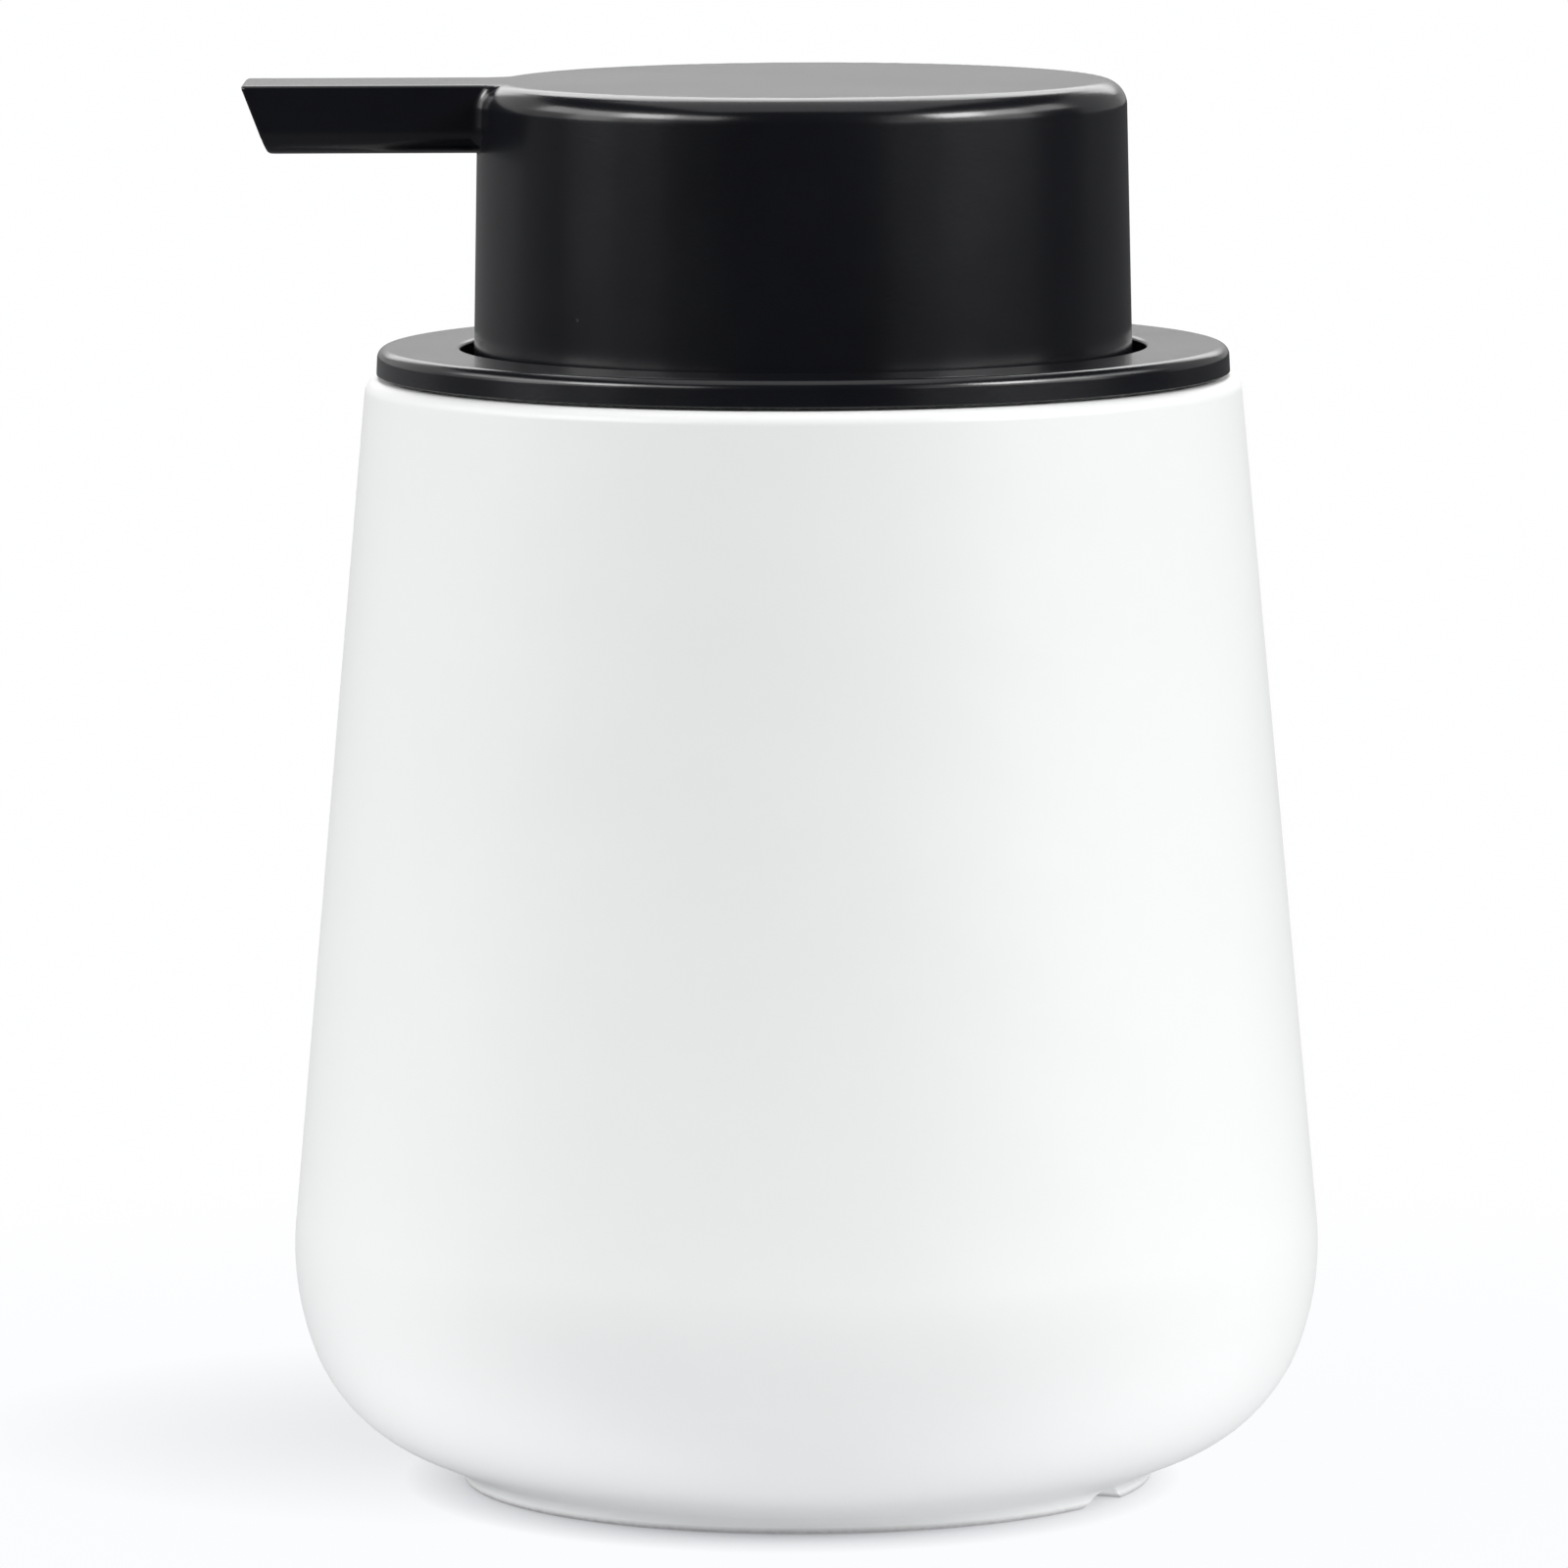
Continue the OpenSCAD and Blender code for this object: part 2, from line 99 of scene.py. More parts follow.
def rounded(corners, fine=1.0, longest=6.0):
    """A closed outline, anticlockwise in (r, z), from corners (r, z, corner radius).
    Returns its points, and for each stretch to the next point its two end normals."""
    points, normals = [], []
    arcs = []
    for i, (r, z, radius) in enumerate(corners):
        here = np.array([r, z], float)
        back = unit(np.array(corners[i - 1][:2], float) - here)
        ahead = unit(np.array(corners[(i + 1) % len(corners)][:2], float) - here)
        if radius <= 0:
            arcs.append(([here], None))
            continue
        half = math.acos(np.clip(back @ ahead, -1, 1)) / 2
        centre = here + unit(back + ahead) * radius / math.sin(half)
        start = here + back * radius / math.tan(half) - centre
        left_turn = back[1] * ahead[0] - back[0] * ahead[1]
        sweep = math.copysign(math.pi - 2 * half, left_turn)
        n = max(2, math.ceil(abs(sweep) / (arc_step(radius) * fine)))
        turned = [
            start @ np.array([[math.cos(t), math.sin(t)], [-math.sin(t), math.cos(t)]])
            for t in np.linspace(0, sweep, n + 1)
        ]
        out = math.copysign(1 / radius, sweep)
        arcs.append(([centre + p for p in turned], [p * out for p in turned]))
    for i, (arc, bent) in enumerate(arcs):
        for k in range(len(arc) - 1):
            points.append(arc[k])
            normals.append((bent[k], bent[k + 1]))
        end, target = arc[-1], arcs[(i + 1) % len(arcs)][0][0]
        length = np.linalg.norm(target - end)
        if length < 1e-6:
            continue
        along = (target - end) / length
        flat = np.array([along[1], -along[0]])
        n = math.ceil(length / longest)
        for k in range(n):
            points.append(end + (target - end) * k / n)
            normals.append((flat, flat))
    return np.array(points), normals


def lathe(name, outline, body, slot, replaced, angles=None, shape=None):
    """A closed outline turned round Z. Points on the axis become one vertex each. Faces
    that shape moves take their normals from the mesh, the others from the outline."""
    points, normals = outline
    if angles is None:
        angles = np.linspace(0, 2 * math.pi, 256, endpoint=False)
    around = np.stack([np.cos(angles), np.sin(angles)], 1)
    count = len(angles)
    verts, rings = [], []
    for r, z in points:
        if r < 1e-6:
            rings.append([len(verts)] * count)
            verts.append((0.0, 0.0, z))
        else:
            rings.append(list(range(len(verts), len(verts) + count)))
            verts += [(r * c, r * s, z) for c, s in around]
    verts = np.array(verts)
    moved = np.zeros(len(verts), bool)
    if shape is not None:
        shaped = shape(verts)
        moved = np.abs(shaped - verts).max(1) > 1e-9
        verts = shaped
    faces, loops = [], []
    for i, (first, last) in enumerate(normals):
        low, high = rings[i], rings[(i + 1) % len(rings)]
        if low[0] == low[1] and high[0] == high[1]:
            continue
        for k in range(count):
            q = (k + 1) % count
            face = [(low[k], first, k), (low[q], first, q), (high[q], last, q), (high[k], last, k)]
            if low[0] == low[1]:
                face = face[1:]
            elif high[0] == high[1]:
                face = face[:3]
            faces.append([v for v, _, _ in face])
            keep = 0 if any(moved[v] for v, _, _ in face) else 1
            loops += [(keep * n[0] * around[j][0], keep * n[0] * around[j][1], keep * n[1])
                      for _, n, j in face]
    finish_mesh(name, verts, faces, body, slot, replaced, np.array(loops))


# ---------------------------------------------------------------- materials
def material(name, base, rough, **inputs):
    """A Principled material: (material, nodes, links, shader, object coordinates)."""
    mat = bpy.data.materials.new(name)
    mat.use_nodes = True
    nodes, links = mat.node_tree.nodes, mat.node_tree.links
    shader = nodes["Principled BSDF"]
    shader.inputs["Base Color"].default_value = (*base, 1)
    shader.inputs["Roughness"].default_value = rough
    for key, value in inputs.items():
        shader.inputs[key.replace("_", " ")].default_value = value
    where = nodes.new("ShaderNodeTexCoord").outputs["Object"]
    return mat, nodes, links, shader, where


def noise(nodes, links, where, scale, detail=2.0, rough=0.5):
    n = nodes.new("ShaderNodeTexNoise")
    n.inputs["Scale"].default_value = scale
    n.inputs["Detail"].default_value = detail
    n.inputs["Roughness"].default_value = rough
    links.new(where, n.inputs["Vector"])
    return n.outputs["Fac"]


def spread(nodes, links, value, low, high, from_low=0.3, from_high=0.7):
    """Maps value from its own range to low..high, clamped. The default is a noise's range."""
    m = nodes.new("ShaderNodeMapRange")
    m.inputs["From Min"].default_value = from_low
    m.inputs["From Max"].default_value = from_high
    m.inputs["To Min"].default_value = low
    m.inputs["To Max"].default_value = high
    links.new(value, m.inputs["Value"])
    return m.outputs["Result"]


def blend_colour(nodes, links, factor, first, second):
    m = nodes.new("ShaderNodeMix")
    m.data_type = "RGBA"
    for socket, value in ((m.inputs[6], first), (m.inputs[7], second)):
        if isinstance(value, tuple):
            socket.default_value = (*value, 1)
        else:
            links.new(value, socket)
    links.new(factor, m.inputs[0])
    return m.outputs[2]


def bump(nodes, links, height, strength, distance, under=None):
    b = nodes.new("ShaderNodeBump")
    b.inputs["Strength"].default_value = strength
    b.inputs["Distance"].default_value = distance
    links.new(height, b.inputs["Height"])
    if under is not None:
        links.new(under, b.inputs["Normal"])
    return b.outputs["Normal"]


def height_in(nodes, links, where):
    s = nodes.new("ShaderNodeSeparateXYZ")
    links.new(where, s.inputs[0])
    return s.outputs["Z"]


def make_glaze():
    """Satin white glaze: nearly even, with slight pooling, and an unglazed foot edge whose grey is
    partly painted contact shade.
    """
    mat, nodes, links, shader, where = material(
        "satin_white_glaze", (0.86, 0.865, 0.86), 0.42, Specular_IOR_Level=0.5
    )
    broad = noise(nodes, links, where, 28, 3)
    fine = noise(nodes, links, where, 900, 3, 0.6)
    thin, pooled = (0.860, 0.869, 0.862), (0.836, 0.847, 0.838)
    colour = blend_colour(nodes, links, spread(nodes, links, broad, 0, 1), thin, pooled)
    # The foot's rest face is left without glaze, and its clay grey is darkened as painted shade for
    # the contact shadow at the floor
    z = height_in(nodes, links, where)
    bare_and_shaded_band = spread(nodes, links, z, 1, 0, 0.0002, 0.0006)
    grain = spread(nodes, links, noise(nodes, links, where, 1500, 2), 0.0, 1.0)
    clay_with_painted_shade = blend_colour(nodes, links, grain, (0.42, 0.415, 0.42), (0.50, 0.495, 0.50))
    colour = blend_colour(nodes, links, bare_and_shaded_band, colour, clay_with_painted_shade)
    links.new(colour, shader.inputs["Base Color"])
    rough = spread(nodes, links, broad, 0.36, 0.46)
    mix = nodes.new("ShaderNodeMix")
    links.new(bare_and_shaded_band, mix.inputs[0])
    links.new(rough, mix.inputs[2])
    mix.inputs[3].default_value = 0.85
    links.new(mix.outputs[0], shader.inputs["Roughness"])
    wave = bump(nodes, links, noise(nodes, links, where, 55, 2), 0.25, 0.0006)
    links.new(bump(nodes, links, fine, 0.05, 0.0002, wave), shader.inputs["Normal"])
    return mat


def make_black(name, base, rough_low, rough_high, specks=True):
    """Fine-textured moulded plastic with a few pale dust specks."""
    mat, nodes, links, shader, where = material(name, base, rough_low, Specular_IOR_Level=0.5)
    patch = noise(nodes, links, where, 60, 4, 0.6)
    grain = noise(nodes, links, where, 2600, 3, 0.7)
    lighter = tuple(c * 1.25 + 0.0006 for c in base)
    colour = blend_colour(nodes, links, spread(nodes, links, patch, 0, 1), base, lighter)
    if specks:
        cells = nodes.new("ShaderNodeTexVoronoi")
        cells.inputs["Scale"].default_value = 170
        links.new(where, cells.inputs["Vector"])
        dot = spread(nodes, links, cells.outputs["Distance"], 1, 0, 0.02, 0.045)
        chance = spread(nodes, links, noise(nodes, links, where, 95, 1), 0, 1, 0.60, 0.68)
        both = nodes.new("ShaderNodeMath")
        both.operation = "MULTIPLY"
        links.new(dot, both.inputs[0])
        links.new(chance, both.inputs[1])
        colour = blend_colour(nodes, links, both.outputs[0], colour, (0.09, 0.09, 0.09))
    links.new(colour, shader.inputs["Base Color"])
    links.new(
        spread(nodes, links, patch, rough_low, rough_high), shader.inputs["Roughness"]
    )
    links.new(bump(nodes, links, grain, 0.12, 0.00004), shader.inputs["Normal"])
    return mat


def make_milky(name, base, rough, through):
    """Natural moulded plastic or silicone: milky, with flow marks."""
    mat, nodes, links, shader, where = material(
        name, base, rough, Specular_IOR_Level=0.5, Subsurface_Weight=through
    )
    shader.inputs["Subsurface Radius"].default_value = (0.002, 0.002, 0.0018)
    shader.inputs["Subsurface Scale"].default_value = 0.5
    flow = nodes.new("ShaderNodeMapping")
    flow.inputs["Scale"].default_value = (1, 1, 0.25)
    links.new(where, flow.inputs["Vector"])
    streak = noise(nodes, links, flow.outputs[0], 160, 4, 0.6)
    darker = tuple(c * 0.93 for c in base)
    colour = blend_colour(nodes, links, spread(nodes, links, streak, 0, 1), base, darker)
    links.new(colour, shader.inputs["Base Color"])
    links.new(
        spread(nodes, links, streak, rough * 0.85, rough * 1.2), shader.inputs["Roughness"]
    )
    grain = noise(nodes, links, where, 1500, 3, 0.6)
    links.new(bump(nodes, links, grain, 0.08, 0.00005), shader.inputs["Normal"])
    return mat


def make_steel():
    mat, nodes, links, shader, where = material(
        "bright_steel", (0.60, 0.60, 0.59), 0.22, Metallic=1.0
    )
    drawn = nodes.new("ShaderNodeMapping")
    drawn.inputs["Scale"].default_value = (1, 1, 6)
    links.new(where, drawn.inputs["Vector"])
    line = noise(nodes, links, drawn.outputs[0], 1800, 3, 0.6)
    links.new(spread(nodes, links, line, 0.14, 0.34), shader.inputs["Roughness"])
    links.new(bump(nodes, links, line, 0.1, 0.00003), shader.inputs["Normal"])
    return mat


def make_rubber():
    mat, nodes, links, shader, where = material(
        "black_rubber", (0.018, 0.018, 0.019), 0.7, Specular_IOR_Level=0.4
    )
    patch = noise(nodes, links, where, 240, 4)
    links.new(spread(nodes, links, patch, 0.6, 0.85), shader.inputs["Roughness"])
    colour = blend_colour(
        nodes, links, spread(nodes, links, patch, 0, 1), (0.016, 0.016, 0.017), (0.03, 0.03, 0.03)
    )
    links.new(colour, shader.inputs["Base Color"])
    grain = noise(nodes, links, where, 2500, 3, 0.7)
    links.new(bump(nodes, links, grain, 0.15, 0.00005), shader.inputs["Normal"])
    return mat


def make_screen():
    """Woven nylon: the strands themselves are geometry; this is their twist and sheen."""
    mat, nodes, links, shader, where = material(
        "nylon_screen", (0.86, 0.86, 0.83), 0.4, Specular_IOR_Level=0.5
    )
    twist = nodes.new("ShaderNodeTexWave")
    twist.inputs["Scale"].default_value = 900
    twist.inputs["Distortion"].default_value = 2
    links.new(where, twist.inputs["Vector"])
    patch = noise(nodes, links, where, 300, 3)
    colour = blend_colour(
        nodes, links, spread(nodes, links, patch, 0, 1), (0.88, 0.88, 0.85), (0.78, 0.78, 0.74)
    )
    links.new(colour, shader.inputs["Base Color"])
    links.new(spread(nodes, links, patch, 0.32, 0.5), shader.inputs["Roughness"])
    links.new(bump(nodes, links, twist.outputs["Fac"], 0.2, 0.00004), shader.inputs["Normal"])
    return mat


MATERIALS = {
    "white_glaze": make_glaze(),
    "black_plastic": make_black("satin_black_plastic", (0.0046, 0.0050, 0.0066), 0.185, 0.215),
    "grey_plastic": make_black("dark_grey_plastic", (0.035, 0.036, 0.038), 0.42, 0.52, False),
    "natural_plastic": make_milky("natural_plastic", (0.80, 0.82, 0.81), 0.38, 0.25),
    "white_plastic": make_milky("soft_white_plastic", (0.84, 0.84, 0.82), 0.35, 0.1),
    "silicone": make_milky("milky_silicone", (0.72, 0.74, 0.73), 0.5, 0.3),
    "black_rubber": make_rubber(),
    "steel": make_steel(),
    "screen": make_screen(),
}

slot_of = {s["node"]: s["material_slot"] for s in frame["record"]["subparts"]}
for node, obj in frame["nodes"].items():
    obj.data.materials.clear()
    obj.data.materials.append(MATERIALS[slot_of[node]])

# ---------------------------------------------------------------- bottle
# The outline follows the CAD bottle: rim and mouth above, cone, belly, foot.
RIM_R, RIM_Z, MOUTH_R = 37.3, bottle_high[2], 32.0
FOOT_R, FOOT_W, FOOT_H, RECESS = 29.6, 4.0, 1.24, 2.2
BELLY_LOW, BELLY_UP = (40.23, 5.75, 15.3), (44.31, 17.2, 24.4)
INNER_LOW, INNER_UP = (35.33, 6.9, 10), (39.23, 17.85, 19.4)
NECK_Z, SHOULDER_R, SHOULDER_Z = 82, 33.6, 79
NOTCH_DIR, NOTCH_W, NOTCH_H = math.radians(-31.5), 7.0, 1.45
bottle_outline = rounded([
    (0, RECESS, 0),
    (FOOT_R - FOOT_W, RECESS, 1),
    (FOOT_R - FOOT_W, 0, 0.6),
    (FOOT_R, 0, 0.4),
    (FOOT_R, FOOT_H, 1.2),
    BELLY_LOW,
    BELLY_UP,
    (RIM_R, RIM_Z, 1.2),
    (MOUTH_R, RIM_Z, 0.8),
    (MOUTH_R, NECK_Z, 2),
    (SHOULDER_R, SHOULDER_Z, 4),
    INNER_UP,
    INNER_LOW,
    (0, INNER_LOW[1], 0),
])


def notch_angles():
    """Even steps round the foot, with close ones at the drain notch."""
    half = NOTCH_W / 2 / FOOT_R
    near = half * np.sin(np.linspace(-math.pi / 2, math.pi / 2, 41))
    sides = half * np.array([-1.12, -1.04, 1.04, 1.12])
    edge = half * 1.25
    far = np.linspace(edge, 2 * math.pi - edge, 240)
    return np.sort(NOTCH_DIR + np.concatenate([near, far, sides]))


def cut_notch(verts):
    """Lifts the foot's underside into an arch across the drain notch."""
    out = verts.copy()
    r = np.hypot(verts[:, 0], verts[:, 1])
    turn = np.arctan2(verts[:, 1], verts[:, 0]) - NOTCH_DIR
    turn = (turn + math.pi) % (2 * math.pi) - math.pi
    s = np.clip(np.abs(turn) * FOOT_R / (NOTCH_W / 2), 0, 1)
    arch = NOTCH_H * (0.5 + 0.5 * np.cos(math.pi * s)) ** 0.7
    here = (r > FOOT_R - FOOT_W - 1.1) & (r < FOOT_R + 2) & (s < 1)
    out[here, 2] = np.maximum(verts[here, 2], arch[here])
    return out


lathe("ceramic_bottle", bottle_outline, "bottle", "white_glaze", "bottle",
      notch_angles(), cut_notch)

# ---------------------------------------------------------------- collar
# A flange over the rim, a well for the skirt, and a ring with a snap bead for the retainer.
FLANGE_R, FLANGE_TOP, FLANGE_LOW = collar_high[0], collar_high[2], 95.3
STEP_R, STEP_Z = 35, 96.1
WELL_R, CUP_R, FLOOR_Z, FLOOR_THICK = 29.25, 31.0, 78.4, 2
RING_R, RING_IN, RING_TOP, HOLE_R = 22.8, 21.3, 84.5, 18.5
BEAD_R, BEAD_Z, BEAD_LOW = 20.8, 83.9, 83.2
collar_outline = rounded([
    (HOLE_R, FLOOR_Z - FLOOR_THICK, 0.15),
    (CUP_R, FLOOR_Z - FLOOR_THICK, 0.8),
    (CUP_R, STEP_Z, 0),
    (STEP_R, STEP_Z, 0),
    (STEP_R, FLANGE_LOW, 0.1),
    (FLANGE_R, FLANGE_LOW, 0.1),
    (FLANGE_R - 0.1, FLANGE_TOP, 0.9),
    (WELL_R, FLANGE_TOP, 0.35),
    (WELL_R, FLOOR_Z, 0.8),
    (RING_R, FLOOR_Z, 0.4),
    (RING_R, RING_TOP, 0.4),
    (RING_IN - 0.1, RING_TOP, 0.1),
    (BEAD_R, BEAD_Z, 0.1),
    (RING_IN, BEAD_LOW, 0.05),
    (RING_IN, FLOOR_Z, 0),
    (HOLE_R, FLOOR_Z, 0.15),
], 0.8)
lathe("collar_flange", collar_outline, "pump_body", "black_plastic", "collar")


# ---------------------------------------------------------------- head shell
def round_max(a, b, radius):
    """Two solids' overlap, with its edge rounded. Works on signed distances."""
    inside = np.minimum(np.maximum(a, b) + radius, 0)
    return inside + np.hypot(np.maximum(a + radius, 0), np.maximum(b + radius, 0)) - radius


def round_min(a, b, radius):
    """Two solids' union, with a fillet where they meet."""
    return -round_max(-a, -b, radius)


def net(field, xs, ys, zs):
    """A closed surface round the points where field is below 0, one vertex a grid cell."""
    grid = [xs, ys, zs]
    value = field(*np.meshgrid(xs, ys, zs, indexing="ij", sparse=True))
    solid = value < 0
    cells = tuple(n - 1 for n in value.shape)
    total = np.zeros((*cells, 3))
    count = np.zeros(cells)
    for axis in range(3):
        u, v = [k for k in range(3) if k != axis]
        for du in (0, 1):
            for dv in (0, 1):
                near = [slice(None)] * 3
                near[axis] = slice(0, -1)
                near[u] = slice(du, value.shape[u] - 1 + du)
                near[v] = slice(dv, value.shape[v] - 1 + dv)
                far = list(near)
                far[axis] = slice(1, None)
                a, b = value[tuple(near)], value[tuple(far)]
                cross = (a < 0) != (b < 0)
                share = np.where(cross, a / np.where(cross, a - b, 1), 0)
                i = np.nonzero(cross)
                place = np.empty((len(i[0]), 3))
                place[:, u] = grid[u][i[u] + du]
                place[:, v] = grid[v][i[v] + dv]
                low, high = grid[axis][i[axis]], grid[axis][i[axis] + 1]
                place[:, axis] = low + (high - low) * share[i]
                np.add.at(total, i, place)
                np.add.at(count, i, 1)
    used = np.nonzero(count)
    number = np.full(cells, -1)
    number[used] = np.arange(len(used[0]))
    verts = total[used] / count[used][:, None]
    faces = []
    for axis in range(3):
        u, v = (axis + 1) % 3, (axis + 2) % 3
        near = [slice(None)] * 3
        near[axis] = slice(0, -1)
        far = list(near)
        far[axis] = slice(1, None)
        starts = solid[tuple(near)]
        i = np.array(np.nonzero(starts != solid[tuple(far)]))
        leaving = starts[tuple(i)]
        corners = []
        for du, dv in ((-1, -1), (0, -1), (0, 0), (-1, 0)):
            at = i.copy()
            at[u] += du
            at[v] += dv
            corners.append(number[tuple(at)])
        quads = np.stack(corners, 1)
        quads[~leaving] = quads[~leaving][:, ::-1]
        faces.append(quads)
    return verts, np.concatenate(faces)


def gradient(field, p, step=0.02):
    g = np.empty_like(p)
    for k in range(3):
        q = np.zeros(3)
        q[k] = step
        g[:, k] = field(*(p + q).T) - field(*(p - q).T)
    return g / (2 * step)


def settle(field, verts, rounds=4):
    """Moves points onto the surface. Returns them with the surface's normals."""
    for _ in range(rounds):
        g = gradient(field, verts)
        size = np.maximum((g**2).sum(1), 0.05)
        verts = verts - np.clip(field(*verts.T) / size, -0.15, 0.15)[:, None] * g
    g = gradient(field, verts)
    return verts, g / np.linalg.norm(g, axis=1)[:, None]


def spaced(*stretches):
    """Grid lines: each stretch is (from, to, spacing)."""
    lines = [np.linspace(a, b, max(1, round((b - a) / s)), endpoint=False) for a, b, s in stretches]
    return np.concatenate(lines + [np.array([stretches[-1][1]])])


TOP_Z, SKIRT_Z = shell_high[2], shell_low[2]
SKIRT_R, TOP_R, HEAD_ROUND = shell_high[0], 27.6, 2.15
SPOUT_REACH, SPOUT_ROOT = -shell_low[0], 20
SPOUT_HALF, SPOUT_Z, SPOUT_ROUND = 5.6, 114.3, 2.2
LEAN = math.radians(21)
ROOM_R, ROOM_DRAFT, ROOM_Z = 25.88, 0.11, 118.2
SOCKET_R, DUCT_HALF, DUCT_LOW, DUCT_ROUND = 7.6, 4.6, 115.3, 2.2
DEEP_Z = 119.2


def head_field(x, y, z):
    """Signed distance to the head shell, in millimetres."""
    r = np.hypot(x, y)
    skirt = r - (SKIRT_R + (TOP_R - SKIRT_R) * (z - SKIRT_Z) / (TOP_Z - SKIRT_Z))
    side = np.abs(y) - SPOUT_HALF
    tip = -(x + SPOUT_REACH) * math.cos(LEAN) - (z - TOP_Z) * math.sin(LEAN)
    head = round_max(skirt, z - TOP_Z, HEAD_ROUND)
    spout = round_max(np.maximum(side, x + SPOUT_ROOT), z - TOP_Z, 0.35)
    # The fillet runs up the spout's sides only: its underside meets the skirt at a corner
    both = round_max(round_min(head, spout, 0.9), SPOUT_Z - z, SPOUT_ROUND)
    body = np.minimum(head, round_max(both, tip, 0.3))
    body = np.maximum(body, z - TOP_Z)
    body = round_max(body, SKIRT_Z - z, 0.5)
    room = r - (ROOM_R - ROOM_DRAFT * (z - SKIRT_Z) / (ROOM_Z - SKIRT_Z))
    room = round_max(room, z - ROOM_Z, 1.2)
    socket = round_max(r - SOCKET_R, z - DEEP_Z, 0.2)
    duct = round_max(np.abs(y) - DUCT_HALF, DUCT_LOW - z, DUCT_ROUND)
    duct = round_max(duct, z - DEEP_Z, 0.3)
    duct = np.maximum(duct, x)
    hollow = np.minimum(np.minimum(room, socket), duct)
    return round_max(body, -hollow, 0.3)


def head_shell():
    """The skirt, the flat top and the spout as one surface. The grid is finer at the spout."""
    xs = spaced((-47.7, -24.2, 0.3), (-24.2, 28.9, 0.62))
    ys = spaced((-28.9, -7, 0.62), (-7, 7, 0.28), (7, 28.9, 0.62))
    zs = spaced((93.1, 94.7, 0.2), (94.7, 113.5, 0.9), (113.5, 120.7, 0.25))
    verts, faces = net(head_field, xs, ys, zs)
    verts, normals = settle(head_field, verts)
    finish_mesh("head_with_spout", verts, faces.tolist(), "head", "black_plastic",
                "head_shell", normals[faces.ravel()])


head_shell()


# ---------------------------------------------------------------- return spring
def return_spring():
    """Round wire with a closed turn at each end, drawn at rest."""
    wire, turns, steps, sides = 0.45, 8, 64, 16
    mean = spring_high[0] - wire
    closed = 2 * wire + 0.03
    bottom, top = spring_low[2], spring_high[2]
    pitch = (top - bottom - 2 * wire - 2 * closed) / (turns - 2)
    t = np.arange(turns * steps + 1) / steps
    rise = closed * np.minimum(t, 1) + pitch * np.clip(t - 1, 0, turns - 2)
    rise = rise + closed * np.maximum(t - turns + 1, 0) + bottom + wire
    angle = 2 * math.pi * t
    away = np.stack([np.cos(angle), np.sin(angle), np.zeros_like(t)], 1)
    centre = mean * away + np.stack([0 * t, 0 * t, rise], 1)
    along = np.gradient(centre, axis=0)
    along /= np.linalg.norm(along, axis=1)[:, None]
    up = np.cross(along, away)
    verts, faces = [], []
    for c, a, u in zip(centre, away, up):
        for k in range(sides):
            b = 2 * math.pi * k / sides
            verts.append(c + wire * (a * math.cos(b) + u * math.sin(b)))
    for i in range(len(t) - 1):
        for k in range(sides):
            q = (k + 1) % sides
            faces.append([i * sides + k, i * sides + q, (i + 1) * sides + q, (i + 1) * sides + k])
    faces.append(list(range(sides))[::-1])
    faces.append([(len(t) - 1) * sides + k for k in range(sides)])
    verts = np.array(verts)
    verts[:, 2] = np.clip(verts[:, 2], bottom, top)
    spring = finish_mesh("return_spring_wire", verts, faces, "pump_body", "steel",
                         "return_spring")
    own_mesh(spring)


return_spring()


# ---------------------------------------------------------------- camera, light and floor
def aim(obj, place, target):
    obj.location = place
    obj.rotation_euler = (Vector(target) - Vector(place)).to_track_quat("-Z", "Y").to_euler()


def make_camera(place, down, roll, lens):
    """A long lens that looks slightly down at the object. Angles are in degrees."""
    camera = bpy.data.objects.new("camera", bpy.data.cameras.new("camera"))
    scene.collection.objects.link(camera)
    camera.data.sensor_width = 36
    camera.data.lens = lens
    camera.data.clip_end = 20
    tilt = Euler((math.radians(90 - down), 0, 0)).to_matrix()
    turn = Matrix.Rotation(math.radians(roll), 3, "Z")
    camera.rotation_euler = (tilt @ turn).to_euler()
    camera.location = place
    scene.camera = camera


make_camera((-0.00178, -1.0555, 0.18277), down=6.64, roll=-0.2247, lens=284.95)


def panel(name, azimuth, elevation, wide, tall, radiance, distance=3.0, centre=0.06):
    """An area light that fills a patch of sky, as seen from the object's centre. Azimuth 0 is
    the camera's side. Angles are in degrees, and wide and tall are the patch's size."""
    light = bpy.data.lights.new(name, "AREA")
    light.shape = "RECTANGLE"
    light.size = 2 * distance * math.tan(math.radians(wide / 2))
    light.size_y = 2 * distance * math.tan(math.radians(tall / 2))
    light.energy = radiance * math.pi * light.size * light.size_y
    obj = bpy.data.objects.new(name, light)
    scene.collection.objects.link(obj)
    a, e = math.radians(azimuth), math.radians(elevation)
    place = (
        distance * math.sin(a) * math.cos(e),
        -distance * math.cos(a) * math.cos(e),
        distance * math.sin(e) + centre,
    )
    aim(obj, place, (0, 0, centre))


